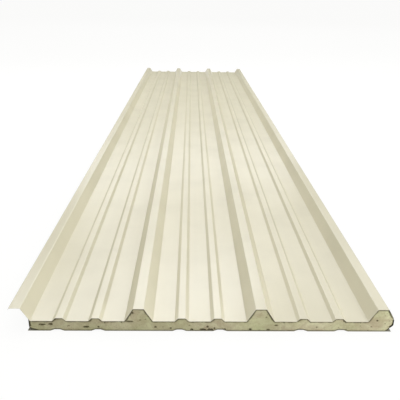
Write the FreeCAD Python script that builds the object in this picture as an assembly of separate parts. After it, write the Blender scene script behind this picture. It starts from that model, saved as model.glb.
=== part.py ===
# Insulated roof panel: a roll-formed steel weather sheet and a lightly grooved steel liner, bonded to
# a rigid foam core, with a thin tape on each long side of the core.
#
# Millimetres, +Z up. X runs across the panel, Y along it. The origin is on the underside, at the
# middle of the cover width and of the length. Every piece is one section in X-Z, drawn along Y.

import FreeCAD, Part
import math
import os

# ---- driving dimensions ----
LENGTH = 5000.0          # along the ribs
COVER_WIDTH = 1000.0     # what one panel covers: first rib's centre line to the last one's
BAYS = 3                 # pans between neighbouring ribs

RIB_HEIGHT = 38.0        # crown above the pan, both on the outside
RIB_BASE = 77.0
CROWN_WIDTH = 30.0

MINOR_RIBS = 2           # stiffening ribs in each pan, with equal flats between them
MINOR_HEIGHT = 9.0
MINOR_BASE = 38.0
MINOR_CROWN = 20.0

OUTER_GAUGE = 0.5        # weather sheet
LINER_GAUGE = 0.4
TAPE_GAUGE = 0.2
BEND_RADIUS = 3.0        # inside of every rolled bend
CORE_DEPTH = 30.0        # liner to pan

LAP_CLEARANCE = 0.3      # first rib over the last rib of the panel beside it
LAP_LIP = 6.0            # free edge of the first rib, turned down its far flank
LAP_RETURN = 21.0        # how far the last rib's sheet comes down its outer flank

GROOVES = 2              # liner grooves in each bay
GROOVE_SPACING = 111.0
GROOVE_HEIGHT = 4.5
GROOVE_BASE = 38.0
GROOVE_TOP = 14.0

CORE_MARGIN = 3.5        # core's left side, outside the foot of the overlapping rib
JOINT_GAP = 2.0          # between the cores of two laid panels
END_SETBACK = 2.0        # the sawn core stands this far inside both ends of the sheets
LIP_REACH = 4.0          # liner's left edge, outside the core
LINER_GAP = 3.0          # between the liners of two laid panels

HEEL_RUN = 24.0          # relieved lower left corner of the core
HEEL_RISE = 7.0
HEEL_RADIUS = 9.0
NOSE_RUN = 20.0          # chamfered lower right corner of the core
NOSE_RISE = 18.5
NOSE_RADIUS = 8.0
SHOULDER_RADIUS = 8.0    # where the last rib's slope turns into the core's right side
TAPE_STOP = 15.0         # right tape's upper edge, below the end of that rib's sheet

# ---- worked out from them ----
PITCH = COVER_WIDTH / BAYS
LINER_TOP = LINER_GAUGE
PAN = LINER_TOP + CORE_DEPTH + OUTER_GAUGE
CROWN = PAN + RIB_HEIGHT
FIRST_RIB = -COVER_WIDTH / 2
LAST_RIB = COVER_WIDTH / 2

FLANK_RUN = (RIB_BASE - CROWN_WIDTH) / 2
FLANK = math.hypot(FLANK_RUN, RIB_HEIGHT)
LAP_GROWTH = OUTER_GAUGE + LAP_CLEARANCE      # first rib's surface outside the last rib's

CORE_LEFT = FIRST_RIB + RIB_BASE / 2 - CORE_MARGIN
CORE_RIGHT = CORE_LEFT + COVER_WIDTH - JOINT_GAP
LINER_LEFT = CORE_LEFT - LIP_REACH
LINER_RIGHT = LINER_LEFT + COVER_WIDTH - LINER_GAP


# ---- paths: lists of corners (x, z, bend radius on that line), travelled in order ----
def heading(start, end):
    """Unit vector from one corner to the next."""
    dx = end[0] - start[0]
    dz = end[1] - start[1]
    size = math.hypot(dx, dz)
    return dx / size, dz / size


def parallel(path, distance):
    """The path moved to the left of its travel, every bend keeping its centre."""
    moved = []
    for i, (x, z, radius) in enumerate(path):
        before = heading(path[i - 1], path[i]) if i > 0 else heading(path[0], path[1])
        after = heading(path[i], path[i + 1]) if i < len(path) - 1 else before
        normal_x = -before[1] - after[1]
        normal_z = before[0] + after[0]
        mitre = distance / (1 + before[0] * after[0] + before[1] * after[1])
        turn = before[0] * after[1] - before[1] * after[0]
        if radius:
            radius -= distance * math.copysign(1, turn)
        moved.append((x + normal_x * mitre, z + normal_z * mitre, radius))
    return moved


def edges_along(path):
    """Straight runs joined by tangent arcs."""
    def point(x, z):
        return FreeCAD.Vector(x, 0, z)

    edges = []
    start = point(*path[0][:2])
    for previous, (x, z, radius), following in zip(path, path[1:], path[2:]):
        if not radius:
            edges.append(Part.LineSegment(start, point(x, z)).toShape())
            start = point(x, z)
            continue
        before = heading(previous, (x, z))
        after = heading((x, z), following)
        half_turn = math.acos(before[0] * after[0] + before[1] * after[1]) / 2
        reach = radius * math.tan(half_turn)
        inward = heading(before, after)
        crest = radius / math.cos(half_turn) - radius
        first = point(x - before[0] * reach, z - before[1] * reach)
        middle = point(x + inward[0] * crest, z + inward[1] * crest)
        last = point(x + after[0] * reach, z + after[1] * reach)
        edges.append(Part.LineSegment(start, first).toShape())
        edges.append(Part.Arc(first, middle, last).toShape())
        start = last
    edges.append(Part.LineSegment(start, point(*path[-1][:2])).toShape())
    return edges


def drawn_out(path, setback=0.0):
    """The closed path's solid, drawn along the panel's length."""
    face = Part.Face(Part.Wire(edges_along(path + path[:1])))
    face.translate(FreeCAD.Vector(0, setback - LENGTH / 2, 0))
    return face.extrude(FreeCAD.Vector(0, LENGTH - 2 * setback, 0))


def strip(path, gauge):
    """Closed path of a sheet whose right-hand side is the path given."""
    return path + parallel(path, gauge)[::-1]


def cut_level(path, z):
    """The path with its last run lengthened or shortened to end at height z."""
    (x1, z1, _), (x2, z2, _) = path[-2:]
    return path[:-1] + [(x1 + (x2 - x1) * (z - z1) / (z2 - z1), z, 0)]


# ---- sections ----
def trapezium(centre, level, base, crown, height, foot_radius, crown_radius):
    """Four corners of a rib or groove that rises from a level."""
    return [
        (centre - base / 2, level, foot_radius),
        (centre - crown / 2, level + height, crown_radius),
        (centre + crown / 2, level + height, crown_radius),
        (centre + base / 2, level, foot_radius),
    ]


def weather_side():
    """Outer sheet's upper surface, from the overlapping rib's free edge to the last rib's."""
    outside = BEND_RADIUS + OUTER_GAUGE
    minor_step = (PITCH - RIB_BASE - MINOR_RIBS * MINOR_BASE) / (MINOR_RIBS + 1) + MINOR_BASE

    path = []
    for bay in range(BAYS + 1):
        rib = FIRST_RIB + bay * PITCH
        grown = LAP_GROWTH if bay == 0 else 0
        base = RIB_BASE + 2 * grown * FLANK / RIB_HEIGHT
        crown = CROWN_WIDTH + 2 * grown * (FLANK - FLANK_RUN) / RIB_HEIGHT
        path += trapezium(rib, PAN, base, crown, RIB_HEIGHT + grown, BEND_RADIUS, outside)
        if bay < BAYS:
            for i in range(MINOR_RIBS):
                centre = rib + PITCH / 2 + (i - (MINOR_RIBS - 1) / 2) * minor_step
                path += trapezium(centre, PAN, MINOR_BASE, MINOR_CROWN, MINOR_HEIGHT, BEND_RADIUS, outside)

    def down_flank(corner, side, distance):
        return (corner[0] + side * FLANK_RUN * distance / FLANK, corner[1] - RIB_HEIGHT * distance / FLANK, 0)

    path[0] = down_flank(path[1], -1, LAP_LIP)
    path[-1] = down_flank(path[-2], 1, LAP_RETURN)
    return path


def liner_underside():
    """From the left lip to the right one."""
    path = [(LINER_LEFT, 0, 0)]
    for bay in range(BAYS):
        for i in range(GROOVES):
            centre = FIRST_RIB + (bay + 0.5) * PITCH + (i - (GROOVES - 1) / 2) * GROOVE_SPACING
            path += trapezium(centre, 0, GROOVE_BASE, GROOVE_TOP, GROOVE_HEIGHT,
                              BEND_RADIUS + LINER_GAUGE, BEND_RADIUS)
    return path + [(LINER_RIGHT, 0, 0)]


def core_top():
    """The bond line under the outer sheet, from the core's left side to the end of the last rib's sheet."""
    bond = parallel(weather_side(), -OUTER_GAUGE)[2:]
    (x1, z1, _), (x2, z2, _) = bond[:2]
    bond[0] = (CORE_LEFT, z1 + (z2 - z1) * (CORE_LEFT - x1) / (x2 - x1), 0)
    return bond


def core_right_side():
    """From the end of the last rib's sheet down to the liner."""
    sheet_end = core_top()[-1]
    shoulder = sheet_end[1] - (CORE_RIGHT - sheet_end[0]) * RIB_HEIGHT / FLANK_RUN
    return [
        sheet_end,
        (CORE_RIGHT, shoulder, SHOULDER_RADIUS),
        (CORE_RIGHT, LINER_TOP + NOSE_RISE, NOSE_RADIUS),
        (CORE_RIGHT - NOSE_RUN, LINER_TOP, 0),
    ]


def core_left_side():
    """From the bond line down to the liner."""
    return [
        core_top()[0],
        (CORE_LEFT, LINER_TOP + HEEL_RISE, HEEL_RADIUS),
        (CORE_LEFT + HEEL_RUN, LINER_TOP, 0),
    ]


# ---- pieces ----
def outer_sheet():
    return drawn_out(strip(parallel(weather_side(), -OUTER_GAUGE), OUTER_GAUGE))


def liner_sheet():
    return drawn_out(strip(liner_underside(), LINER_GAUGE))


def foam_core():
    grooves = parallel(liner_underside(), LINER_GAUGE)[1:-1]
    outline = core_top() + core_right_side()[1:] + grooves[::-1] + core_left_side()[:0:-1]
    return drawn_out(outline, END_SETBACK)


def side_tape(side, left_of_travel):
    """A tape on one side of the core, ending flat on the liner."""
    outer = cut_level(parallel(side, left_of_travel * TAPE_GAUGE), LINER_TOP)
    return drawn_out(side + outer[::-1], END_SETBACK)


def left_tape():
    return side_tape(core_left_side(), -1)


def right_tape():
    side = core_right_side()[1:]
    side[0] = (CORE_RIGHT, core_top()[-1][1] - TAPE_STOP, 0)
    return side_tape(side, 1)


PIECES = {
    "outer_sheet": outer_sheet,
    "foam_core": foam_core,
    "liner_sheet": liner_sheet,
    "side_tape_left": left_tape,
    "side_tape_right": right_tape,
}

os.makedirs("parts", exist_ok=True)
for name, make in PIECES.items():
    solid = make()
    solid.exportStep(f"parts/{name}.step")
    print(f"{name}: {solid.Volume / 1e6:.3f} litres, valid {solid.isValid()}")
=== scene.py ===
# %% [markdown]
# # An insulated roof panel
#
# The real panel is a sandwich: a rolled steel weather sheet with four ribs, a yellow foam core, and
# a thin grooved steel liner under it. Dark tape closes the core's two long sides. The first rib is
# empty, because on a roof it drops over the last rib of the panel beside it.
#
# The CAD model fixes every size. This script keeps those sizes, and gives each piece the surface,
# the cut edges and the small faults of the real thing. Lengths are in metres, and a size in
# millimetres is written as a number times MM.

# %% Load the CAD frame
import math

import bmesh
import bpy
import numpy as np
from mathutils import Matrix, Vector
from mathutils.geometry import delaunay_2d_cdt


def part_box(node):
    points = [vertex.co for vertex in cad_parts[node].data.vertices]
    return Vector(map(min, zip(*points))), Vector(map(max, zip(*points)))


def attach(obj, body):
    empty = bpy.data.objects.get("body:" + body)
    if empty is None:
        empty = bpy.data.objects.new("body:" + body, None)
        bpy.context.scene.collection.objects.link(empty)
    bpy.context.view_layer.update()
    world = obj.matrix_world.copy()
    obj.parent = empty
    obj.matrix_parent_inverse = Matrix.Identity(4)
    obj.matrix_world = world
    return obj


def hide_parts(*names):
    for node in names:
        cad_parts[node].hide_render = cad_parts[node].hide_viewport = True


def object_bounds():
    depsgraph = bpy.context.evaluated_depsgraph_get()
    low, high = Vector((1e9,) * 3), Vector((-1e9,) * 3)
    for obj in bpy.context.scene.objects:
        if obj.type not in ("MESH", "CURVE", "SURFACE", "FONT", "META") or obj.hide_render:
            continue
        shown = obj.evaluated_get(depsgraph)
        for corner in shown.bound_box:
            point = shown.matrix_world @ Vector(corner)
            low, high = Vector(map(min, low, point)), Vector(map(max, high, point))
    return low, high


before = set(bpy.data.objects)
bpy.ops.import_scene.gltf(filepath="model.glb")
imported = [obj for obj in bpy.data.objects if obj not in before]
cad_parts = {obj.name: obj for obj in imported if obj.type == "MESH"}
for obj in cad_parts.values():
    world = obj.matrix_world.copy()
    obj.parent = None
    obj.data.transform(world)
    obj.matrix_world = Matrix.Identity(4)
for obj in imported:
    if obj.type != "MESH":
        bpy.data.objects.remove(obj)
cad_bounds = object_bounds()
MM = 0.001
scene = bpy.context.scene
print("CAD box", [tuple(round(v, 4) for v in corner) for corner in cad_bounds])

# %% [markdown]
# ## Camera
#
# Someone stands at one cut end, a little to the left of the middle, and looks down along the ribs.
# A Track To constraint could aim the camera, but it couldn't tip it to one side. So the place and
# the three turns of the head are given as numbers, and the camera's matrix is built from the
# directions that they mean: right, up and ahead.

# %% Camera
EYE_HEIGHT = 870.4 * MM
EYE_BEFORE_PANEL = 1284.3 * MM
EYE_ASIDE = -28.7 * MM
YAW, TILT, ROLL = 0.01913, 0.36153, 0.01381      # radians
FOCAL_LENGTH = 49.5                               # millimetres, as Blender counts it
SIGHT = 200                                       # metres

ahead = Vector((math.sin(YAW) * math.cos(TILT), math.cos(YAW) * math.cos(TILT), -math.sin(TILT)))
level_right = Vector((math.cos(YAW), -math.sin(YAW), 0))
level_up = level_right.cross(ahead)
right = level_right * math.cos(ROLL) + level_up * math.sin(ROLL)
up = level_up * math.cos(ROLL) - level_right * math.sin(ROLL)

lens = bpy.data.cameras.new("view_along_ribs")
lens.lens = FOCAL_LENGTH
lens.clip_end = SIGHT
camera = bpy.data.objects.new("view_along_ribs", lens)
camera.matrix_world = Matrix((right, up, -ahead)).transposed().to_4x4()
camera.matrix_world.translation = (EYE_ASIDE, cad_bounds[0].y - EYE_BEFORE_PANEL, EYE_HEIGHT)
scene.collection.objects.link(camera)
scene.camera = camera
scene.view_settings.view_transform = "Standard"
print("camera at", tuple(round(v, 3) for v in camera.matrix_world.translation))

# %% [markdown]
# ## Building node trees in code
#
# Both kinds of tree in this lesson, for geometry and for shaders, are nodes joined by links. They
# could be drawn by hand in the editor, but in code each size has a name and the result is the same
# every time. Two helpers keep the code readable. `add` makes a node and fills its inputs by name. A
# `Field` wraps one output, so that a rule can be written as ordinary arithmetic.

# %% One output of a node
class Field:
    """One output of a node, with the arithmetic of ordinary numbers."""

    def __init__(self, tree, socket):
        self.tree = tree
        self.socket = socket

    def math(self, operation, *others):
        node = self.tree.nodes.new("ShaderNodeMath")
        node.operation = operation
        for socket, value in zip(node.inputs, (self,) + others):
            feed(self.tree, socket, value)
        return Field(self.tree, node.outputs[0])

    def __add__(self, other):
        return self.math("ADD", other)

    def __sub__(self, other):
        return self.math("SUBTRACT", other)

    def __mul__(self, other):
        return self.math("MULTIPLY", other)

    def __truediv__(self, other):
        return self.math("DIVIDE", other)

    def __lt__(self, other):
        return self.math("LESS_THAN", other)

    def __gt__(self, other):
        return self.math("GREATER_THAN", other)


def feed(tree, socket, value):
    """Link an output to this input, or set the input to a plain value."""
    if isinstance(value, Field):
        value = value.socket
    if isinstance(value, bpy.types.NodeSocket):
        tree.links.new(value, socket)
    else:
        socket.default_value = value


print("arithmetic on node outputs: +, -, *, /, <, > and math()")

# %% Making nodes and trees
def add(tree, kind, inputs=None, out=0, **settings):
    """Make one node and return one of its outputs, by number or name, as a Field."""
    node = tree.nodes.new(kind)
    for name, value in settings.items():
        setattr(node, name, value)
    for name, value in (inputs or {}).items():
        if isinstance(name, int):
            socket = node.inputs[name]
        else:
            socket = next(s for s in node.inputs if s.name == name and s.enabled)
        feed(tree, socket, value)
    return Field(tree, node.outputs[out])


def choose(tree, where, yes, no):
    """yes where the mask is 1, no where it is 0."""
    return add(tree, "ShaderNodeMix", {"Factor": where, "A": no, "B": yes})


def blend_colours(tree, factor, low, high):
    """The colour low where the factor is 0, and high where it is 1."""
    return add(tree, "ShaderNodeMix", {"Factor": factor, "A": low, "B": high}, out=2, data_type="RGBA")


def new_tree(name, kind, inputs, outputs):
    """An empty group with named sockets. Returns the tree, its inputs by name and its output node."""
    tree = bpy.data.node_groups.new(name, kind)
    for side, sockets in (("INPUT", inputs), ("OUTPUT", outputs)):
        for socket_name, (kind_name, value) in sockets.items():
            socket = tree.interface.new_socket(
                socket_name, in_out=side, socket_type="NodeSocket" + kind_name)
            if value is not None:
                socket.default_value = value
    entry = tree.nodes.new("NodeGroupInput")
    given = {s.name: Field(tree, s) for s in entry.outputs if s.name}
    return tree, given, tree.nodes.new("NodeGroupOutput")


print("tree helpers:", ", ".join(helper.__name__ for helper in (add, choose, blend_colours, new_tree)))

# %% [markdown]
# A tree or any other modifier only shows its result. The pieces of this panel have to be plain
# meshes in the end, so the evaluated object is read back as a mesh and the modifier is taken off.

# %% Making objects
def make_plain(piece):
    """Put the piece's modified shape in its mesh, and take the modifiers off."""
    evaluated = piece.evaluated_get(bpy.context.evaluated_depsgraph_get())
    mesh = bpy.data.meshes.new_from_object(evaluated)
    piece.modifiers.clear()
    piece.data = mesh
    mesh.name = piece.name


def run_tree(piece, tree, values):
    """Run a geometry tree on an object, with its inputs given by name, and keep the result."""
    modifier = piece.modifiers.new(tree.name, "NODES")
    modifier.node_group = tree
    for item in tree.interface.items_tree:
        if item.in_out == "INPUT" and item.name in values:
            modifier[item.identifier] = values[item.name]
    make_plain(piece)
    return piece


def new_object(name, mesh=None):
    """An object in the scene, with the mesh given or an empty one."""
    obj = bpy.data.objects.new(name, mesh or bpy.data.meshes.new(name))
    scene.collection.objects.link(obj)
    return obj


print("object helpers:", ", ".join(helper.__name__ for helper in (make_plain, run_tree, new_object)))

# %% [markdown]
# ## Floor and light
#
# A studio floor that is nearly white, and eight soft lamps. The ceiling gives most of the light, and
# the lamp on the right warms the slopes that face it. The lamp behind and the near one stand where
# level sheet mirrors them towards the near end, which lifts the pans. Two more draw a pale band
# across them. That pair only shows in the gloss and lights nothing, so that it can stand close to
# the far end. The two lamps in front do the reverse: they light the cut face, and stay out of the
# gloss, where they would be a hard white patch.
#
# A white floor could be had with more light, but then the panel would turn white too. So the camera
# sees a share of plain white in the floor, whatever light falls on it, and some of the panel's
# shadow in the rest.

# %% Floor
FLOOR_REACH = 150           # metres from the middle, so that its edge is far out of sight
WHITE_SHARE = 0.88          # of what the camera sees in it


def seen_directly(tree):
    """1 for rays that come from the camera, or from a mirror or a glass in front of it."""
    path = tree.nodes.new("ShaderNodeLightPath")
    seen = Field(tree, path.outputs["Is Camera Ray"])
    for other in ("Is Glossy Ray", "Is Transmission Ray"):
        seen = seen.math("MAXIMUM", Field(tree, path.outputs[other]))
    return seen


floor_paint = bpy.data.materials.new("studio_floor")
floor_paint.use_nodes = True
tree = floor_paint.node_tree
tree.nodes.clear()
matt = add(tree, "ShaderNodeBsdfDiffuse", {"Color": (0.86, 0.86, 0.85, 1)})
white = add(tree, "ShaderNodeEmission", {"Color": (1, 1, 1, 1), "Strength": 1.05})
blend = add(tree, "ShaderNodeMixShader", {"Fac": seen_directly(tree) * WHITE_SHARE, 1: matt, 2: white})
feed(tree, tree.nodes.new("ShaderNodeOutputMaterial").inputs["Surface"], blend)

floor_mesh = bpy.data.meshes.new("studio_floor")
floor_corners = [(x * FLOOR_REACH, y * FLOOR_REACH, 0) for x, y in ((-1, -1), (1, -1), (1, 1), (-1, 1))]
floor_mesh.from_pydata(floor_corners, [], [(0, 1, 2, 3)])
floor = new_object("studio_floor", floor_mesh)
floor.data.materials.append(floor_paint)
print("floor:", 2 * FLOOR_REACH, "m square")

# %% Lamps
def soft_lamp(name, place, aim, width, height, power, colour, lights, shows):
    """A rectangle of light, in metres and watts. It lights surfaces, shows in their gloss, or both."""
    light = bpy.data.lights.new(name, "AREA")
    light.shape = "RECTANGLE"
    light.size = width
    light.size_y = height
    light.energy = power
    light.color = colour
    lamp = bpy.data.objects.new(name, light)
    lamp.location = place
    lamp.rotation_euler = (Vector(aim) - Vector(place)).to_track_quat("-Z", "Y").to_euler()
    lamp.visible_camera = False
    lamp.visible_diffuse = lights
    lamp.visible_glossy = shows
    scene.collection.objects.link(lamp)


COOL, PLAIN, WARM = (0.95, 0.95, 1.0), (1, 1, 1), (1, 1, 0.87)
LAMPS = (
    ("ceiling", (0.6, 0, 4.5), (0, 0, 0), 8, 8, 121, COOL, True, True),
    ("behind", (1.9, 11, 7), (0, -1.5, 0), 11, 2.6, 168, COOL, True, True),
    ("near_gloss", (-1.9, 1.8, 3), (-0.9, -2.3, 0), 5.6, 0.8, 58, COOL, True, True),
    ("band_gloss_left", (-1.3, 5, 2.15), (-0.3, -1, 0), 1.2, 0.5, 5.5, COOL, False, True),
    ("band_gloss_right", (0.5, 5, 1.95), (0.1, -1, 0), 2.4, 0.5, 10.5, COOL, False, True),
    ("right_side", (4, 0.6, 3), (0, 0.3, 0), 3, 3, 35, WARM, True, True),
    ("front_wide", (0, -5.2, 1.8), (0, -2.5, 0.05), 2.5, 1.2, 7.4, PLAIN, True, False),
    ("front_right", (0.95, -3.6, 0.25), (0.45, -2.5, 0.03), 0.6, 0.3, 8, PLAIN, True, False),
)
for lamp in LAMPS:
    soft_lamp(*lamp)

# %% World
world = bpy.data.worlds.new("studio_air")
scene.world = world
world.use_nodes = True
tree = world.node_tree
tree.nodes.clear()
fill = add(tree, "ShaderNodeBackground", {"Color": (1, 0.975, 0.75, 1), "Strength": 0.355})
backdrop = add(tree, "ShaderNodeBackground", {"Color": (1, 1, 1, 1), "Strength": 1.0})
camera_only = Field(tree, tree.nodes.new("ShaderNodeLightPath").outputs["Is Camera Ray"])
air = add(tree, "ShaderNodeMixShader", {"Fac": camera_only, 1: fill, 2: backdrop})
feed(tree, tree.nodes.new("ShaderNodeOutputWorld").inputs["Surface"], air)
print("world:", world.name)

# %% [markdown]
# ## Effects that several finishes share
#
# Coil-coated steel is painted as a flat strip before it is rolled. Its paint is even, with a very
# fine grain, faint streaks along the strip from the coating rollers, and a little dust from the
# yard. Each paint could have these nodes for itself. The same three things, in other amounts, are on
# the cream side, the back coat and the liner, so they are built once as a group. The tape and the
# foam share the dust, so it is a group by itself.

# %% Shader group: yard dust
FLOAT, COLOUR = "Float", "Color"

tree, given, result = new_tree(
    "yard_dust", "ShaderNodeTree",
    {"Scale": (FLOAT, 6.0), "Amount": (FLOAT, 0.2), "Low Edge": (FLOAT, 0.35)},
    {"Dust": (FLOAT, None)},
)
here = add(tree, "ShaderNodeTexCoord", out="Object")
clouds = add(tree, "ShaderNodeTexNoise", {
    "Vector": here, "Scale": given["Scale"], "Detail": 4.0, "Roughness": 0.5})
specks = add(tree, "ShaderNodeTexNoise", {"Vector": here, "Scale": given["Scale"] * 60, "Detail": 2.0})
patches = add(tree, "ShaderNodeMapRange", {
    "Value": clouds * 0.9 + specks * 0.1, "From Min": given["Low Edge"], "From Max": 0.85},
    interpolation_type="SMOOTHSTEP")
feed(tree, result.inputs["Dust"], patches * given["Amount"])
yard_dust = tree
print("shader group:", yard_dust.name, "with", len(tree.nodes), "nodes")

# %% Shader group: coil coating
tree, given, result = new_tree(
    "coil_coating", "ShaderNodeTree",
    {"Paint": (COLOUR, (0.8, 0.8, 0.7, 1)), "Dust Colour": (COLOUR, (0.5, 0.46, 0.36, 1)),
     "Dust": (FLOAT, 0.15), "Streaks": (FLOAT, 0.04), "Gloss Loss": (FLOAT, 0.05),
     "Roughness": (FLOAT, 0.35)},
    {"Colour": (COLOUR, None), "Roughness": (FLOAT, None), "Grain": (FLOAT, None)},
)
here = add(tree, "ShaderNodeTexCoord", out="Object")
drawn_out = add(tree, "ShaderNodeMapping", {"Vector": here, "Scale": (34.0, 0.55, 6.0)})
streaks = add(tree, "ShaderNodeTexNoise", {
    "Vector": drawn_out, "Scale": 1.0, "Detail": 5.0, "Roughness": 0.6})
dust = add(tree, "ShaderNodeGroup", {"Scale": 5.0, "Amount": given["Dust"]}, node_tree=yard_dust)
grain = add(tree, "ShaderNodeTexNoise", {"Vector": here, "Scale": 900.0, "Detail": 2.0})
streaked = add(tree, "ShaderNodeHueSaturation", {
    "Color": given["Paint"], "Value": (streaks - 0.5) * given["Streaks"] + 1.0})
feed(tree, result.inputs["Colour"], blend_colours(tree, dust, streaked, given["Dust Colour"]))
feed(tree, result.inputs["Roughness"],
     given["Roughness"] + (streaks - 0.5) * given["Gloss Loss"] + dust * 0.1)
feed(tree, result.inputs["Grain"], grain)
coil_coating = tree
print("shader group:", coil_coating.name, "with", len(tree.nodes), "nodes")

# %% [markdown]
# ## Finishes
#
# Each finish is one material. Its colour, roughness and bump come from the groups above and from
# patterns of its own, so no picture has to be wrapped round the panel. Shaders stay here, outside
# the groups. The three paints differ only in colour, gloss and dirt, so one function makes them.

# %% Painted steel
DUST_COLOUR = (110, 104, 84)
GRAIN_DEPTH = 0.04 * MM


def linear(red, green, blue):
    """A colour written as on a paint chart, 0 to 255, as the linear value that shaders use."""
    parts = [c / 255 for c in (red, green, blue)]
    return tuple(c / 12.92 if c < 0.04045 else ((c + 0.055) / 1.055) ** 2.4 for c in parts) + (1,)


def start_material(name):
    """A new material, its tree and its one shader."""
    material = bpy.data.materials.new(name)
    material.use_nodes = True
    return material, material.node_tree, material.node_tree.nodes["Principled BSDF"]


def painted(name, paint, roughness, dust, streaks):
    """A coil-coated finish: smooth paint, with some streaks and dust in it."""
    material, tree, shader = start_material(name)
    coating = tree.nodes.new("ShaderNodeGroup")
    coating.node_tree = coil_coating
    for socket, value in (("Paint", linear(*paint)), ("Dust Colour", linear(*DUST_COLOUR)),
                          ("Dust", dust), ("Streaks", streaks), ("Roughness", roughness)):
        coating.inputs[socket].default_value = value
    feed(tree, shader.inputs["Base Color"], coating.outputs["Colour"])
    feed(tree, shader.inputs["Roughness"], coating.outputs["Roughness"])
    bump = add(tree, "ShaderNodeBump", {
        "Height": Field(tree, coating.outputs["Grain"]), "Strength": 0.25, "Distance": GRAIN_DEPTH})
    feed(tree, shader.inputs["Normal"], bump)
    return material


cream = painted("cream_weather_coat", (236, 231, 211), roughness=0.24, dust=0.10, streaks=0.05)
back_coat = painted("grey_back_coat", (168, 166, 155), roughness=0.55, dust=0.25, streaks=0.10)
liner_paint = painted("off_white_liner_coat", (222, 220, 210), roughness=0.42, dust=0.12, streaks=0.05)
print("paints:", cream.name, back_coat.name, liner_paint.name)

# %% [markdown]
# A saw cuts the finished sandwich to length, sheets and foam together. The sheets' cut shows bare
# zinc and steel, about half a millimetre wide, with the saw's fine scratches across it. A mask near
# the ends could paint that on. But when a sheet gets its thickness further down, its rim can have a
# material of its own, which is simpler and exact.

# %% Cut edge of the sheets
cut_edge, tree, shader = start_material("sawn_steel_edge")
here = add(tree, "ShaderNodeTexCoord", out="Object")
scratches = add(tree, "ShaderNodeTexNoise", {
    "Vector": add(tree, "ShaderNodeMapping", {"Vector": here, "Scale": (2500.0, 40.0, 300.0)}),
    "Scale": 1.0, "Detail": 2.0})
bare_metal = blend_colours(tree, scratches, linear(150, 148, 140), linear(226, 222, 208))
feed(tree, shader.inputs["Base Color"], bare_metal)
feed(tree, shader.inputs["Roughness"], scratches * 0.25 + 0.3)
shader.inputs["Metallic"].default_value = 0.7
bump = add(tree, "ShaderNodeBump", {"Height": scratches, "Strength": 0.3, "Distance": 0.1 * MM})
feed(tree, shader.inputs["Normal"], bump)
print("edge:", cut_edge.name)

# %% [markdown]
# ## The rolled sheets
#
# Both steel sheets leave a line of rollers that bends one section all the way along. The section
# could be typed in point by point, but it follows a rule, so a geometry tree makes both sheets. It
# numbers the corners of the section, works out each corner's place from its number, rounds the
# corners off and draws the section along the panel. A change of size then moves every corner.
#
# The tree counts shapes of four corners. In each bay there is one main shape, and then a number of
# minor ones. For the weather sheet they are the rib and its two stiffeners. For the liner both are
# grooves. One tree with two sets of sizes makes both sheets. A modifier always hands its object's
# own mesh to the tree, but this tree makes everything itself, so that mesh is left empty.

# %% Geometry tree: inputs of the roll-formed sheet
GEOMETRY, COUNT, MATERIAL = "Geometry", "Int", "Material"

SHEET_SIZES = (
    "Length", "First Centre", "Pitch", "Level", "Main Base", "Main Crown", "Main Height",
    "First Base Extra", "First Crown Extra", "First Height Extra",
    "Minor Base", "Minor Crown", "Minor Height", "Minor Start", "Minor Step",
    "Start X", "Start Z", "End X", "End Z", "Foot Radius", "Crown Radius", "Waviness",
)
SHEET_COUNTS = ("Bays", "Minors", "Closing Shapes", "Open Ends", "Steps", "Seed")
tree, given, result = new_tree(
    "roll_formed_sheet", "GeometryNodeTree",
    {"Sheet": (GEOMETRY, None), "Finish": (MATERIAL, None),
     **{name: (COUNT, 1) for name in SHEET_COUNTS}, **{name: (FLOAT, 0.0) for name in SHEET_SIZES}},
    {"Sheet": (GEOMETRY, None)},
)
print("sheet tree:", len(SHEET_SIZES), "sizes and", len(SHEET_COUNTS), "counts")

# %% [markdown]
# The tree has no loop over the corners. It starts from a plain line of points and asks each point
# for its index, so every value below is worked out for all the points at once.
#
# The first and the last point aren't corners. They are the sheet's two free edges, with places of
# their own. A sheet with open ends has them instead of its first and its last corner.

# %% Geometry tree: the place of each corner
CORNERS = 4                 # of one shape, numbered from 0
MIDDLE_TURN = 1.5           # between its second corner and its third

shapes_in_bay = given["Minors"] + 1
corners = (given["Bays"] * shapes_in_bay + given["Closing Shapes"]) * CORNERS
points = corners + 2 - given["Open Ends"] * 2

number = add(tree, "GeometryNodeInputIndex")
corner = number + given["Open Ends"] - 1
shape = (corner / CORNERS).math("FLOOR")
turn = corner - shape * CORNERS
bay = (shape / shapes_in_bay).math("FLOOR")
member = shape - bay * shapes_in_bay
is_main = member < 0.5
is_first = shape < 0.5
is_top = (turn - MIDDLE_TURN).math("ABSOLUTE") < 1

minor_place = given["Minor Start"] + (member - 1) * given["Minor Step"]
centre = given["First Centre"] + bay * given["Pitch"] + choose(tree, is_main, 0.0, minor_place)


def size_of_shape(size):
    """A base, crown or height: the main or the minor one, and a little more on the first shape."""
    plain = choose(tree, is_main, given["Main " + size], given["Minor " + size])
    return plain + is_first * given["First " + size + " Extra"]


base, crown, rise = (size_of_shape(size) for size in ("Base", "Crown", "Height"))
half_width = choose(tree, is_top, crown, base) / 2
across = centre + (turn - MIDDLE_TURN).math("SIGN") * half_width
height = given["Level"] + is_top * rise

at_start = number < 0.5
at_end = number > points - 1.5
across = choose(tree, at_start, given["Start X"], choose(tree, at_end, given["End X"], across))
height = choose(tree, at_start, given["Start Z"], choose(tree, at_end, given["End Z"], height))
print("nodes that place the corners:", len(tree.nodes))

# %% Geometry tree: from corners to a long sheet
POINTS_IN_BEND = 5
FOOT_BAND = 1 * MM          # bends within this height of the pan are at a rib's foot
PAN_BAND = 0.5 * MM         # points within this height of it lie in the pan itself
RIPPLES = 2.2               # noise scale of the waves in a pan

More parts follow.
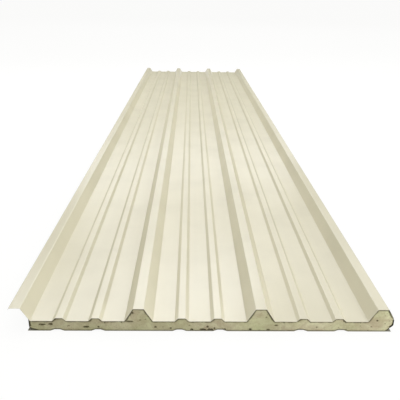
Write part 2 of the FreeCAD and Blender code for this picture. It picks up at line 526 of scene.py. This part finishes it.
line = add(tree, "GeometryNodeMeshLine", {"Count": points})
line = add(tree, "GeometryNodeSetPosition", {
    "Geometry": line, "Position": add(tree, "ShaderNodeCombineXYZ", {"X": across, "Y": height})})
section = add(tree, "GeometryNodeMeshToCurve", {"Mesh": line})
place = add(tree, "GeometryNodeInputPosition")
section_height = add(tree, "ShaderNodeSeparateXYZ", {"Vector": place}, out="Y")
radius = choose(
    tree, section_height > given["Level"] + FOOT_BAND, given["Crown Radius"], given["Foot Radius"])
section = add(tree, "GeometryNodeFilletCurve", {
    "Curve": section, "Count": POINTS_IN_BEND, "Radius": radius, "Limit Radius": True}, mode="POLY")
# A section that is swept along +Y ends up with its own y axis pointing down, so it is turned over.
section = add(tree, "GeometryNodeTransform", {"Geometry": section, "Scale": (1, -1, 1)})
half_length = given["Length"] / 2
path = add(tree, "GeometryNodeCurvePrimitiveLine", {
    "Start": add(tree, "ShaderNodeCombineXYZ", {"Y": half_length * -1.0}),
    "End": add(tree, "ShaderNodeCombineXYZ", {"Y": half_length})})
path = add(tree, "GeometryNodeResampleCurve", {"Curve": path, "Count": given["Steps"] + 1})
swept = add(tree, "GeometryNodeCurveToMesh", {"Curve": path, "Profile Curve": section})

place_height = add(tree, "ShaderNodeSeparateXYZ", {"Vector": place}, out="Z")
ripple = add(tree, "ShaderNodeTexNoise", {
    "Vector": place, "W": given["Seed"], "Scale": RIPPLES, "Detail": 1.0}, noise_dimensions="4D")
in_pan = (place_height - given["Level"]).math("ABSOLUTE") < PAN_BAND
swept = add(tree, "GeometryNodeSetPosition", {
    "Geometry": swept, "Offset": add(tree, "ShaderNodeCombineXYZ", {
        "Z": (ripple - 0.5) * given["Waviness"] * in_pan})})
swept = add(tree, "GeometryNodeRealizeInstances", {"Geometry": swept})
swept = add(tree, "GeometryNodeSetMaterial", {"Geometry": swept, "Material": given["Finish"]})
feed(tree, result.inputs["Sheet"], swept)
roll_formed_sheet = tree
print("whole sheet tree:", len(tree.nodes), "nodes")

# %% [markdown]
# ### Weather sheet
#
# The first rib is rolled one gauge and a hair larger than the others, so that it seats over the next
# panel's last rib, and its free edge turns a few millimetres down the far flank. The last rib's
# sheet stops part way down its outer flank, where the foam takes over.
#
# The driving sizes are written once here. What depends on the lap, such as how much the first rib is
# grown and how far the two free edges come down, is worked out from the CAD piece's own box. Wide
# flats in thin sheet are never quite flat, so the pans get long waves, a fraction of a millimetre
# deep.

# %% Sizes of the weather sheet
COVER_WIDTH = 1000 * MM
FIRST_RIB, LAST_RIB = -COVER_WIDTH / 2, COVER_WIDTH / 2
BAYS = 3
PITCH = COVER_WIDTH / BAYS
GAUGE, LINER_GAUGE = 0.5 * MM, 0.4 * MM
CORE_IN_PANS = 30 * MM
PAN_LEVEL = LINER_GAUGE + CORE_IN_PANS + GAUGE

RIB_HEIGHT, RIB_BASE, RIB_CROWN = 38 * MM, 77 * MM, 30 * MM
FLANK_RUN = (RIB_BASE - RIB_CROWN) / 2
FLANK = math.hypot(FLANK_RUN, RIB_HEIGHT)

LOW_RIBS = 2                # stiffeners in each pan, with equal flats between them
LOW_RIB_HEIGHT, LOW_RIB_BASE, LOW_RIB_CROWN = 9 * MM, 38 * MM, 20 * MM
LOW_RIB_STEP = (PITCH - RIB_BASE - LOW_RIBS * LOW_RIB_BASE) / (LOW_RIBS + 1) + LOW_RIB_BASE

sheet_low, sheet_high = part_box("outer_sheet")
grown = sheet_high.z - PAN_LEVEL - RIB_HEIGHT
crown_growth = grown * (FLANK - FLANK_RUN) / RIB_HEIGHT
lip_drop = (FIRST_RIB - RIB_CROWN / 2 - crown_growth - sheet_low.x) / FLANK_RUN * RIB_HEIGHT
return_drop = (sheet_high.x - LAST_RIB - RIB_CROWN / 2) / FLANK_RUN * RIB_HEIGHT
print("first rib grown by", round(grown / MM, 2), "mm; free edges come down",
      round(lip_drop / MM, 1), "and", round(return_drop / MM, 1), "mm")

# %% Weather sheet
weather_sheet = run_tree(new_object("weather_sheet"), roll_formed_sheet, {
    "Length": sheet_high.y - sheet_low.y, "First Centre": FIRST_RIB, "Pitch": PITCH, "Level": PAN_LEVEL,
    "Main Base": RIB_BASE, "Main Crown": RIB_CROWN, "Main Height": RIB_HEIGHT,
    "First Base Extra": 2 * grown * FLANK / RIB_HEIGHT,
    "First Crown Extra": 2 * crown_growth, "First Height Extra": grown,
    "Minor Base": LOW_RIB_BASE, "Minor Crown": LOW_RIB_CROWN, "Minor Height": LOW_RIB_HEIGHT,
    "Minor Start": (PITCH - LOW_RIB_STEP) / 2, "Minor Step": LOW_RIB_STEP,
    "Start X": sheet_low.x, "Start Z": sheet_high.z - lip_drop,
    "End X": sheet_high.x, "End Z": PAN_LEVEL + RIB_HEIGHT - return_drop,
    "Foot Radius": 3 * MM, "Crown Radius": 3.5 * MM, "Waviness": 0.5 * MM,
    "Bays": BAYS, "Minors": LOW_RIBS, "Closing Shapes": 1, "Open Ends": 1, "Steps": 120, "Seed": 4,
    "Finish": cream,
})
print("weather sheet:", len(weather_sheet.data.polygons), "faces,",
      "height", round(max(v.co.z for v in weather_sheet.data.vertices), 4))

# %% [markdown]
# The tree gives only the painted surface. Its back could be drawn as a second section, but Solidify
# adds the gauge behind it evenly round each bend, and gives the back and the cut rim their own
# materials. Then the normals are weighted by area. A long flat face meets narrow bend faces along
# its edges, and would look puffed up if its normals leaned towards them.

# %% Thickness and shading
BEND_IS_SMOOTH_TO = math.radians(35)


def flatten_shading(piece):
    """Weight the normals by area, so that wide flats look flat and only the bends look round."""
    weighted = piece.modifiers.new("flats", "WEIGHTED_NORMAL")
    weighted.keep_sharp = True
    weighted.weight = 100
    make_plain(piece)


def give_gauge(sheet, gauge, back, rim):
    """Turn a painted surface into sheet metal, with a back coat and bare cut edges."""
    for material in (back, rim):
        sheet.data.materials.append(material)
    solid = sheet.modifiers.new("gauge", "SOLIDIFY")
    solid.thickness = gauge
    solid.offset = -1
    solid.use_even_offset = True
    solid.material_offset = 1
    solid.material_offset_rim = 2
    make_plain(sheet)
    sheet.data.shade_smooth()
    sheet.data.set_sharp_from_angle(angle=BEND_IS_SMOOTH_TO)
    flatten_shading(sheet)


give_gauge(weather_sheet, GAUGE, back_coat, cut_edge)
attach(weather_sheet, "root")
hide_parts("outer_sheet")
print("weather sheet with its gauge:", len(weather_sheet.data.polygons), "faces")

# %% [markdown]
# ### Liner
#
# On a roof, the liner is the ceiling of the room below, so it is nearly flat, with two shallow
# grooves in each bay. The same tree draws it, with grooves as both the main and the minor shape. Its
# painted side faces down, so the section is drawn at floor level and the gauge goes up from it. Its
# two long edges reach out past the foam that stands on it. It has no waves and no larger first
# shape, so those inputs stay at the 0 that the tree starts them with.

# %% Liner
GROOVE_BASE, GROOVE_TOP, GROOVE_HEIGHT = 38 * MM, 14 * MM, 4.5 * MM
GROOVE_SPACING = 111 * MM

liner_low, liner_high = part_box("liner_sheet")
liner = run_tree(new_object("liner"), roll_formed_sheet, {
    "Length": liner_high.y - liner_low.y, "Pitch": PITCH, "Level": 0.0,
    "First Centre": FIRST_RIB + PITCH / 2 - GROOVE_SPACING / 2,
    "Main Base": GROOVE_BASE, "Main Crown": GROOVE_TOP, "Main Height": GROOVE_HEIGHT,
    "Minor Base": GROOVE_BASE, "Minor Crown": GROOVE_TOP, "Minor Height": GROOVE_HEIGHT,
    "Minor Start": GROOVE_SPACING, "Minor Step": 0.0,
    "Start X": liner_low.x, "Start Z": 0.0, "End X": liner_high.x, "End Z": 0.0,
    "Foot Radius": 3.4 * MM, "Crown Radius": 3 * MM,
    "Bays": BAYS, "Minors": 1, "Closing Shapes": 0, "Open Ends": 0, "Steps": 2,
    "Finish": liner_paint,
})
liner.data.flip_normals()
give_gauge(liner, LINER_GAUGE, back_coat, cut_edge)
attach(liner, "root")
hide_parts("liner_sheet")
print("liner:", len(liner.data.polygons), "faces")

# %% [markdown]
# ## Foam
#
# The core is polyisocyanurate foam, a closed-cell foam that sets hard and yellow between the two
# sheets. A band saw cuts it with them. The cut face shows fine cells, paler and browner swirls where
# the mix ran, and a few blowholes. Along the sheets the saw tears the brittle rind away, which
# leaves a narrow joint. The dark in that joint and in the blowholes is painted shade in the colour,
# over their real depth.
#
# Cells and swirls are far too small and many for a mesh, so a shader group draws them from noise,
# and the holes and the joint, which cast shadows, are real shapes further down. Noise in Object
# coordinates runs through the block, so the cut face and the sides show one and the same foam.

# %% Shader group: swirls and cells of the foam
tree, given, result = new_tree(
    "foam_body", "ShaderNodeTree",
    {"Swirl Scale": (FLOAT, 26.0), "Cell Scale": (FLOAT, 900.0), "Green": (FLOAT, 0.5)},
    {"Colour": (COLOUR, None), "Cells": (FLOAT, None)},
)
here = add(tree, "ShaderNodeTexCoord", out="Object")
flow = add(tree, "ShaderNodeMapping", {"Vector": here, "Scale": (1.0, 0.25, 1.5)})
swirl = add(tree, "ShaderNodeTexNoise", {
    "Vector": flow, "Scale": given["Swirl Scale"], "Detail": 5.0, "Roughness": 0.6, "Distortion": 0.8})
drift = add(tree, "ShaderNodeTexNoise", {
    "Vector": flow, "Scale": given["Swirl Scale"] * 0.3, "Detail": 2.0})
cells = add(tree, "ShaderNodeTexVoronoi", {"Vector": here, "Scale": given["Cell Scale"], "Randomness": 1.0})
specks = add(tree, "ShaderNodeTexNoise", {"Vector": here, "Scale": 260.0, "Detail": 3.0, "Roughness": 0.75})


def stretch(tree, value, low, high):
    """Clamp a pattern to 0 at low and 1 at high."""
    return add(tree, "ShaderNodeMapRange", {"Value": value, "From Min": low, "From Max": high})


brown, olive = linear(187, 176, 151), linear(209, 205, 176)
green, dark = linear(190, 199, 152), linear(136, 128, 92)
brown_to_olive = blend_colours(tree, stretch(tree, swirl, 0.38, 0.62), brown, olive)
greenish = blend_colours(tree, stretch(tree, drift, 0.42, 0.66) * given["Green"], brown_to_olive, green)
speckled = blend_colours(tree, stretch(tree, specks, 0.54, 0.7) * 0.4, greenish, dark)
feed(tree, result.inputs["Colour"], speckled)
feed(tree, result.inputs["Cells"], cells * 0.5 + specks * 0.5)
foam_body = tree
print("shader group:", foam_body.name, "with", len(tree.nodes), "nodes")

# %% Foam materials
def foam_material(name, cell_depth, strength, darkening):
    """Foam in one of its surfaces. An attribute that is 1 deep inside a blowhole or a torn joint darkens the
    colour there, as painted shade.
    """
    material, tree, shader = start_material(name)
    body = tree.nodes.new("ShaderNodeGroup")
    body.node_tree = foam_body
    # Painted shade: where a blowhole or the torn joint sank the cut face, the colour darkens towards deep
    # brown. The cast rind is sunk all over, so there a small share of it only tones the whole rind darker.
    void_shade = add(tree, "ShaderNodeAttribute", out="Fac", attribute_name="void_shade")
    shade = blend_colours(tree, void_shade * darkening, Field(tree, body.outputs["Colour"]), linear(70, 64, 38))
    dust = add(tree, "ShaderNodeGroup", {"Scale": 9.0, "Amount": 0.25}, node_tree=yard_dust)
    soiled = blend_colours(tree, dust, shade, linear(120, 110, 80))
    feed(tree, shader.inputs["Base Color"], soiled)
    feed(tree, shader.inputs["Roughness"], dust * 0.05 + 0.88)
    bump = add(tree, "ShaderNodeBump", {
        "Height": Field(tree, body.outputs["Cells"]), "Strength": strength, "Distance": cell_depth})
    feed(tree, shader.inputs["Normal"], bump)
    shader.inputs["Specular IOR Level"].default_value = 0.2
    return material


sawn_foam = foam_material("sawn_foam", cell_depth=0.8 * MM, strength=0.8, darkening=0.75)
cast_foam = foam_material("cast_foam_rind", cell_depth=0.3 * MM, strength=0.5, darkening=0.2)
print("foam:", sawn_foam.name, cast_foam.name)

# %% [markdown]
# ### The core's section
#
# The foam fills whatever the sheets leave, so its section has the sheets' own bends in it. It isn't
# worked out a second time: its outline is read from its CAD node, so it meets both sheets
# everywhere. The outline is then divided finely enough for a torn edge.

# %% Outline of the core
SAME_POINT = 1e-6           # metres
ON_END = 1e-5
OUTLINE_STEP = 2 * MM


def end_outline(node):
    """The loop of (x, z) corners round a CAD node's near end."""
    work = bmesh.new()
    work.from_mesh(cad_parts[node].data)
    bmesh.ops.remove_doubles(work, verts=work.verts, dist=SAME_POINT)
    near = min(v.co.y for v in work.verts) + ON_END
    following = {}
    for face in work.faces:
        if face.normal.y > -0.9:      # not the near end itself, but a face that leads away from it
            for loop in face.loops:
                a, b = loop.vert, loop.link_loop_next.vert
                if a.co.y < near and b.co.y < near:
                    following[(a.co.x, a.co.z)] = (b.co.x, b.co.z)
    work.free()
    start = here = min(following)
    outline = [start]
    while following[here] != start:
        here = following[here]
        outline.append(here)
    return outline


def divide(outline, step):
    """The same loop with points no further apart than step."""
    finer = []
    for (x0, z0), (x1, z1) in zip(outline, outline[1:] + outline[:1]):
        parts = max(1, math.ceil(math.hypot(x1 - x0, z1 - z0) / step))
        finer += [(x0 + (x1 - x0) * i / parts, z0 + (z1 - z0) * i / parts) for i in range(parts)]
    return finer


def area_inside(outline):
    """Positive if the loop runs anticlockwise."""
    return sum(x0 * z1 - x1 * z0 for (x0, z0), (x1, z1) in zip(outline, outline[1:] + outline[:1])) / 2


core_outline = divide(end_outline("foam_core"), OUTLINE_STEP)
if area_inside(core_outline) < 0:
    core_outline.reverse()
print("core outline:", len(core_outline), "points round", round(area_inside(core_outline) * 1e4, 1), "cm2")

# %% [markdown]
# ### A net on the cut face
#
# Damage needs points to move, and a cut face is one flat polygon. Subdividing it would give long
# thin faces at the bends. Instead a field of points is laid out in staggered rows, each shifted a
# little at random so that no row shows, and Delaunay triangulation joins the points and the outline
# with well-shaped triangles. How far each point is from the outline is kept, for the torn joint.

# %% Net of triangles inside the outline
NET_SPACING = 1.6 * MM
ROW_HEIGHT = 0.866          # of the spacing, as in a field of equal triangles
SHIFT = 0.22                # of the spacing, each way
CLEAR_OF_OUTLINE = 0.55     # of the spacing
NET_TOLERANCE = 1e-7        # metres


def inside_and_clearance(points, outline):
    """For each point, whether it is inside the loop, and how far it is from it."""
    a = np.array(outline)
    b = np.roll(a, -1, axis=0)
    run = b - a
    inside = np.zeros(len(points), bool)
    clearance = np.full(len(points), np.inf)
    for start, end, step in zip(a, b, run):
        crosses = (start[1] > points[:, 1]) != (end[1] > points[:, 1])
        if step[1]:
            meets = start[0] + (points[:, 1] - start[1]) * step[0] / step[1]
            inside ^= crosses & (points[:, 0] < meets)
        along = np.clip(((points - start) @ step) / (step @ step), 0, 1)
        gap = points - start - along[:, None] * step
        clearance = np.minimum(clearance, np.hypot(gap[:, 0], gap[:, 1]))
    return inside, clearance


def net_inside(outline, spacing, seed):
    """Points and triangles that fill the loop. The loop's own points come first."""
    dice = np.random.default_rng(seed)
    low, high = np.min(outline, axis=0), np.max(outline, axis=0)
    columns = np.arange(low[0], high[0], spacing)
    rows = np.arange(low[1], high[1], spacing * ROW_HEIGHT)
    x, z = np.meshgrid(columns, rows)
    x[1::2] += spacing / 2
    field = np.stack([x.ravel(), z.ravel()], axis=1)
    field += dice.uniform(-SHIFT, SHIFT, field.shape) * spacing
    inside, clearance = inside_and_clearance(field, outline)
    keep = inside & (clearance > CLEAR_OF_OUTLINE * spacing)
    points = [Vector(p) for p in outline] + [Vector(p) for p in field[keep]]
    loop = list(range(len(outline)))
    points, _, triangles, *_ = delaunay_2d_cdt(points, [], [loop], 1, NET_TOLERANCE)
    reach = np.concatenate([np.zeros(len(outline)), clearance[keep]])
    return points, triangles, reach


net, net_triangles, net_reach = net_inside(core_outline, NET_SPACING, seed=7)
print("cut face:", len(net), "points with", len(net_reach), "distances,", len(net_triangles), "triangles")

# %% [markdown]
# ### The cast body and its blowholes
#
# One mesh holds the whole core: long faces from end to end, and a net on each cut face. The larger
# blowholes of the near end have places of their own, so they go in as loose points, each with its
# half width, half height and depth. They could be cut out with booleans, but that would leave
# twenty clean bowls. As points they only tell the next tree where the foam is missing.

# %% Core mesh
BLOWHOLES = (      # x, z, half width, half height, depth, in millimetres
    (-430, 18, 9, 2.6, 5), (-407, 19, 6, 3.4, 5), (-311, 11, 8, 2.8, 6), (-277, 11, 3, 2.4, 4),
    (-192, 28, 9, 2.6, 5), (-182, 55, 4, 3.0, 4), (-121, 11, 3, 2.6, 4), (-80, 7, 3, 2.4, 4),
    (-22, 3, 4, 3.0, 5), (8, 3, 9, 3.0, 6), (30, 3, 11, 3.4, 6), (21, 12, 3, 2.6, 4),
    (40, 7, 3, 2.4, 4), (68, 4, 4, 2.6, 4), (139, 4, 4, 3.4, 5), (188, 3, 5, 2.8, 4),
    (190, 53, 5, 4.0, 5), (210, 17, 5, 2.0, 3), (399, 31, 6, 2.6, 6), (487, 33, 3, 2.4, 4),
)


def core_block(outline, net, triangles, reach):
    """The core as one closed mesh, with each point's distance to the outline kept in it."""
    near, far = (corner.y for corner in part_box("foam_core"))
    rim, count = len(outline), len(net)
    corners = [(p.x, near, p.y) for p in net] + [(p.x, far, p.y) for p in net]
    faces = list(triangles) + [tuple(count + i for i in reversed(t)) for t in triangles]
    faces += [(i, count + i, count + (i + 1) % rim, (i + 1) % rim) for i in range(rim)]
    holes = [Vector(hole) * MM for hole in BLOWHOLES]
    corners += [(hole[0], near, hole[1]) for hole in holes]
    mesh = bpy.data.meshes.new("foam_core_block")
    mesh.from_pydata(corners, [], faces)
    mesh.attributes.new("reach", "FLOAT", "POINT").data.foreach_set(
        "value", np.concatenate([reach, reach, np.zeros(len(holes))]))
    sizes = [(0, 0, 0)] * (2 * count) + [tuple(hole[2:5]) for hole in holes]
    mesh.attributes.new("hole_size", "FLOAT_VECTOR", "POINT").data.foreach_set(
        "vector", np.array(sizes).ravel())
    return mesh


core = new_object("foam_core_block", core_block(core_outline, net, net_triangles, net_reach))
print("core:", len(core.data.vertices), "points,", len(BLOWHOLES), "of them blowhole centres")

# %% [markdown]
# ### Saw damage
#
# Sculpting the two cut faces by hand would tie the damage to one mesh, so a tree makes it by rule,
# and an input sets each of its sizes. First it adds a scatter of smaller blowholes to the known
# ones. Then it sinks each point of the cut faces by the deeper of two things, the torn joint along
# the outline and the nearest blowhole, and adds the saw's own roughness to that. How far joint or
# hole sank a point, it also stores as an attribute, and the foam's material darkens its colour by
# it as painted shade in these recesses.

# %% Geometry tree: inputs of the crumbled cut
CUT_SIZES = (
    "Torn Width", "Torn Depth", "Liner Share", "Roughness",
    "Holes In Square Metre", "Smallest", "Largest", "Dark From",
)
tree, given, result = new_tree(
    "crumbled_cut", "GeometryNodeTree",
    {"Core": (GEOMETRY, None), "Seed": (COUNT, 1), "Sawn": (MATERIAL, None), "Cast": (MATERIAL, None),
     **{name: (FLOAT, 0.0) for name in CUT_SIZES}},
    {"Core": (GEOMETRY, None)},
)
hole_size = add(tree, "GeometryNodeInputNamedAttribute", {"Name": "hole_size"}, data_type="FLOAT_VECTOR")
reach = add(tree, "GeometryNodeInputNamedAttribute", {"Name": "reach"}, data_type="FLOAT")
print("cut tree:", len(given), "inputs, and it reads hole_size and reach from the mesh")

# %% Geometry tree: all the blowholes
NO_HOLE = 0.1 * MM          # a point with a smaller size than this is part of the body
HOLE_STRETCH = 1.5          # width of a scattered hole, as a share of its height

size_length = add(tree, "ShaderNodeVectorMath", {0: hole_size}, out="Value", operation="LENGTH")
parted = add(tree, "GeometryNodeSeparateGeometry", {
    "Geometry": given["Core"], "Selection": size_length > NO_HOLE})
body = Field(tree, parted.socket.node.outputs["Inverted"])
known_holes = add(tree, "GeometryNodeMeshToPoints", {"Mesh": parted})

# The faces are told apart before anything moves, and the body carries the answer with it.
normal = add(tree, "GeometryNodeInputNormal")
faces_along = add(tree, "ShaderNodeSeparateXYZ", {"Vector": normal}, out="Y")
marked = tree.nodes.new("GeometryNodeCaptureAttribute")
marked.domain = "FACE"
marked.capture_items.new("BOOLEAN", "cut")
feed(tree, marked.inputs["Geometry"], body)
feed(tree, marked.inputs["cut"], faces_along.math("ABSOLUTE") > 0.9)
body, is_cut = (Field(tree, marked.outputs[i]) for i in range(2))

scatter = add(tree, "GeometryNodeDistributePointsOnFaces", {
    "Mesh": body, "Selection": is_cut, "Density": given["Holes In Square Metre"], "Seed": given["Seed"]})
width = add(tree, "FunctionNodeRandomValue", {
    "Min": given["Smallest"], "Max": given["Largest"], "Seed": given["Seed"] + 1}, out=1, data_type="FLOAT")
stretched = add(tree, "ShaderNodeCombineXYZ", {"X": width * HOLE_STRETCH, "Y": width, "Z": width})
scatter = add(tree, "GeometryNodeStoreNamedAttribute", {
    "Geometry": scatter, "Name": "hole_size", "Value": stretched}, data_type="FLOAT_VECTOR", domain="POINT")
holes = add(tree, "GeometryNodeJoinGeometry")
for points in (known_holes, scatter):
    tree.links.new(points.socket, holes.socket.node.inputs[0])
print("nodes so far:", len(tree.nodes))

# %% Geometry tree: depth of the nearest blowhole
HOLE_RIM, HOLE_FLOOR = 1.15, 0.55     # where they lie, in half sizes from the hole's centre
OTHER_END = 1000                      # keeps a hole at one end from denting the other end
RAGGED, RAGGEDNESS = 240.0, 0.9       # noise scale of a torn rim, and how far it strays

place = add(tree, "GeometryNodeInputPosition")
nearest = add(tree, "GeometryNodeSampleNearest", {"Geometry": holes}, domain="POINT")


def at_nearest(value):
    """A value of the blowhole that is nearest to each point."""
    return add(tree, "GeometryNodeSampleIndex", {
        "Geometry": holes, "Value": value, "Index": nearest}, data_type="FLOAT_VECTOR")


# A hole's size is kept as half width, half height and depth, while a cut face lies in x and z.
extent = at_nearest(hole_size)
half_wide, half_high, deep = (
    add(tree, "ShaderNodeSeparateXYZ", {"Vector": extent}, out=axis) for axis in "XYZ")
offset = add(tree, "ShaderNodeVectorMath", {0: place, 1: at_nearest(place)}, operation="SUBTRACT")
off_x, off_y, off_z = (
    add(tree, "ShaderNodeSeparateXYZ", {"Vector": offset}, out=axis) for axis in "XYZ")
ragged = add(tree, "ShaderNodeTexNoise", {"Vector": place, "Scale": RAGGED, "Detail": 3.0, "Roughness": 0.6})
from_centre = ((off_x / half_wide).math("POWER", 2.0) + (off_z / half_high).math("POWER", 2.0)).math("SQRT")
from_centre = from_centre + (ragged - 0.5) * RAGGEDNESS + off_y.math("ABSOLUTE") * OTHER_END
hole_depth = add(tree, "ShaderNodeMapRange", {
    "Value": from_centre, "From Min": HOLE_RIM, "From Max": HOLE_FLOOR, "To Min": 0.0, "To Max": deep},
    interpolation_type="SMOOTHSTEP")
print("nodes so far:", len(tree.nodes))

# %% Geometry tree: the torn joint, and the sunk points
LINER_BAND = 12 * MM        # foam this near to the floor belongs to the joint with the liner
TEAR_SWING, TEAR_LEAST = 2.0, 0.1     # noise to width: how much the joint swells, and its least share

uneven = add(tree, "ShaderNodeTexNoise", {"Vector": place, "Scale": 70.0, "Detail": 4.0})
over_liner = add(tree, "ShaderNodeSeparateXYZ", {"Vector": place}, out="Z") < LINER_BAND
share = choose(tree, over_liner, given["Liner Share"], 1.0)
torn_width = given["Torn Width"] * (uneven * TEAR_SWING + TEAR_LEAST) * share
torn_depth = add(tree, "ShaderNodeMapRange", {
    "Value": reach, "From Min": 0.0, "From Max": torn_width,
    "To Min": given["Torn Depth"] * share, "To Max": 0.0}, interpolation_type="SMOOTHSTEP")
sunk = hole_depth.math("MAXIMUM", torn_depth)
# Sink depth kept for the foam's material, which turns it into painted shade in the holes and the joint.
body = add(tree, "GeometryNodeStoreNamedAttribute", {
    "Geometry": body, "Name": "void_shade", "Value": (sunk / given["Dark From"]).math("MINIMUM", 1.0)},
    data_type="FLOAT", domain="POINT")

saw_marks = given["Roughness"] * ragged
inward = add(tree, "ShaderNodeSeparateXYZ", {"Vector": place}, out="Y").math("SIGN") * -1.0
body = add(tree, "GeometryNodeSetPosition", {
    "Geometry": body, "Offset": add(tree, "ShaderNodeCombineXYZ", {"Y": inward * (sunk + saw_marks)})})
body = add(tree, "GeometryNodeRealizeInstances", {"Geometry": body})
body = add(tree, "GeometryNodeSetMaterial", {"Geometry": body, "Material": given["Cast"]})
body = add(tree, "GeometryNodeSetMaterial", {
    "Geometry": body, "Selection": is_cut, "Material": given["Sawn"]})
feed(tree, result.inputs["Core"], body)
crumbled_cut = tree
print("whole cut tree:", len(tree.nodes), "nodes")

# %% Saw the core
CRUMBS_ARE_SMOOTH_TO = math.radians(60)

run_tree(core, crumbled_cut, {
    "Torn Width": 5 * MM, "Torn Depth": 4 * MM, "Liner Share": 0.3, "Roughness": 0.5 * MM,
    "Holes In Square Metre": 900.0, "Smallest": 0.9 * MM, "Largest": 1.8 * MM,
    "Dark From": 1.2 * MM, "Seed": 3,
    "Sawn": sawn_foam, "Cast": cast_foam,
})
core.data.shade_smooth()
core.data.set_sharp_from_angle(angle=CRUMBS_ARE_SMOOTH_TO)
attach(core, "root")
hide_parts("foam_core")
print("sawn core:", len(core.data.polygons), "faces,", [m.name for m in core.data.materials])

# %% [markdown]
# ## Edge tapes
#
# A thin dark film keeps the liquid foam in at the two long sides while it sets, and stays there. It
# follows the core's stepped side. A cloth simulation could wrinkle it, but the film is bonded and
# barely moves. So a tree draws each tape's own CAD outline along the panel and puts shallow blisters
# in it, where the film let go of the foam, and its finer creases are only in the material.

# %% Tape material
film, tree, shader = start_material("dark_edge_film")
dust = add(tree, "ShaderNodeGroup", {"Scale": 7.0, "Amount": 0.4}, node_tree=yard_dust)
here = add(tree, "ShaderNodeTexCoord", out="Object")
creases = add(tree, "ShaderNodeTexNoise", {
    "Vector": add(tree, "ShaderNodeMapping", {"Vector": here, "Scale": (60.0, 14.0, 60.0)}),
    "Scale": 1.0, "Detail": 4.0, "Distortion": 1.5})
film_colour = blend_colours(tree, dust, linear(66, 62, 48), linear(126, 120, 98))
feed(tree, shader.inputs["Base Color"], film_colour)
feed(tree, shader.inputs["Roughness"], dust * 0.3 + 0.46)
bump = add(tree, "ShaderNodeBump", {"Height": creases, "Strength": 0.4, "Distance": 0.6 * MM})
feed(tree, shader.inputs["Normal"], bump)
print("tape material:", film.name)

# %% Geometry tree: a film laid along the side
FADE_OVER = 3 * MM          # blisters grow to full height over this distance from the outermost place

tree, given, result = new_tree(
    "laid_film", "GeometryNodeTree",
    {"Outline": (GEOMETRY, None), "Steps": (COUNT, 1), "Seed": (COUNT, 1), "Finish": (MATERIAL, None),
     **{name: (FLOAT, 0.0) for name in ("Start", "End", "Blister", "Blister Scale", "Outermost")}},
    {"Film": (GEOMETRY, None)},
)
section = add(tree, "GeometryNodeMeshToCurve", {"Mesh": given["Outline"]})
section = add(tree, "GeometryNodeTransform", {"Geometry": section, "Scale": (1, -1, 1)})
path = add(tree, "GeometryNodeCurvePrimitiveLine", {
    "Start": add(tree, "ShaderNodeCombineXYZ", {"Y": given["Start"]}),
    "End": add(tree, "ShaderNodeCombineXYZ", {"Y": given["End"]})})
path = add(tree, "GeometryNodeResampleCurve", {"Curve": path, "Count": given["Steps"] + 1})
laid = add(tree, "GeometryNodeCurveToMesh", {"Curve": path, "Profile Curve": section, "Fill Caps": True})
laid = add(tree, "GeometryNodeMergeByDistance", {"Geometry": laid, "Distance": SAME_POINT})
place = add(tree, "GeometryNodeInputPosition")
bubbles = add(tree, "ShaderNodeTexNoise", {
    "Vector": place, "W": given["Seed"], "Scale": given["Blister Scale"], "Detail": 2.0},
    noise_dimensions="4D")
across = add(tree, "ShaderNodeSeparateXYZ", {"Vector": place}, out="X")
blister = add(tree, "ShaderNodeMapRange", {
    "Value": bubbles, "From Min": 0.5, "From Max": 0.7, "To Max": given["Blister"]})
room = ((given["Outermost"] - across.math("ABSOLUTE")) / FADE_OVER).math("MINIMUM", 1.0)
laid = add(tree, "GeometryNodeSetPosition", {
    "Geometry": laid,
    "Offset": add(tree, "ShaderNodeCombineXYZ", {"X": across.math("SIGN") * (blister * room)})})
laid = add(tree, "GeometryNodeRealizeInstances", {"Geometry": laid})
laid = add(tree, "GeometryNodeSetMaterial", {"Geometry": laid, "Material": given["Finish"]})
feed(tree, result.inputs["Film"], laid)
laid_film = tree
print("film tree:", len(tree.nodes), "nodes")

# %% [markdown]
# The free rib reaches past the left tape, so its blisters have room everywhere. The right tape
# is the panel's outermost piece on its side, and no blister may make the panel wider. There they
# fade out towards the tape's own outer face.

# %% Both tapes
def edge_tape(side):
    """One tape, drawn along the panel from its CAD node's own outline."""
    node = "side_tape_" + side
    outline = end_outline(node)
    loop = bpy.data.meshes.new("edge_tape_" + side)
    ring = [(i, (i + 1) % len(outline)) for i in range(len(outline))]
    loop.from_pydata([(x, z, 0) for x, z in outline], ring, [])
    low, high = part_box(node)
    tape = run_tree(new_object("edge_tape_" + side, loop), laid_film, {
        "Start": low.y, "End": high.y, "Steps": 200, "Blister": 0.4 * MM, "Blister Scale": 18.0,
        "Outermost": high.x if side == "right" else -FIRST_RIB, "Seed": 5, "Finish": film,
    })
    tape.data.shade_smooth()
    tape.data.set_sharp_from_angle(angle=BEND_IS_SMOOTH_TO)
    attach(tape, "root")
    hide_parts(node)
    return tape


tapes = [edge_tape(side) for side in ("left", "right")]
for tape in tapes:
    print(tape.name, len(tape.data.polygons), "faces")
